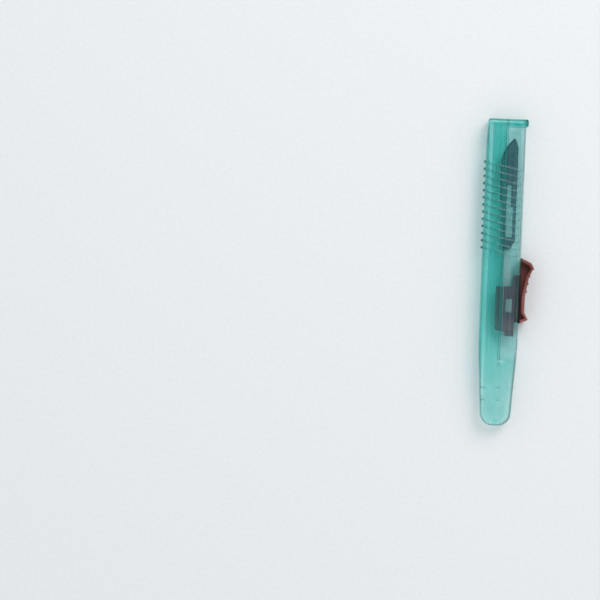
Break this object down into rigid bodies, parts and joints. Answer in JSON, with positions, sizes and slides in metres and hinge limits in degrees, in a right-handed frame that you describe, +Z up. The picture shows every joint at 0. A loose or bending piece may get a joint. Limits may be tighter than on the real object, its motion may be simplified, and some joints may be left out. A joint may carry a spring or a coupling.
{
  "type": "disposable scalpel",
  "caption": "Single-use scalpel: translucent green moulded sheath with a belly-edge grip, dark red thumb slider and a retracted curved steel blade.",
  "frame": {"origin": "middle of the lower flat side, on the sheath's centreline, halfway between nose and tail", "axes": "+X towards the thumb slider, +Y towards the nose where the blade comes out, +Z up through the thickness"},
  "size_m": [0.0207, 0.118, 0.0076],
  "materials": {
    "sheath_green": "translucent moulded plastic, smooth",
    "slider_red": "moulded, satin",
    "holder_clear": "frosted clear moulding",
    "blade_steel": "ground carbon steel"
  },
  "bodies": {
    "sheath": {"sheath_lower_shell": "sheath_green", "sheath_upper_shell": "sheath_green"},
    "carriage": {"thumb_slider": "slider_red", "blade_holder": "holder_clear", "blade": "blade_steel"}
  },
  "joints": [
    {"name": "blade_slide", "type": "slide", "parent": "sheath", "child": "carriage", "axis": [0, 1, 0], "range_m": [0, 0.036]}
  ]
}
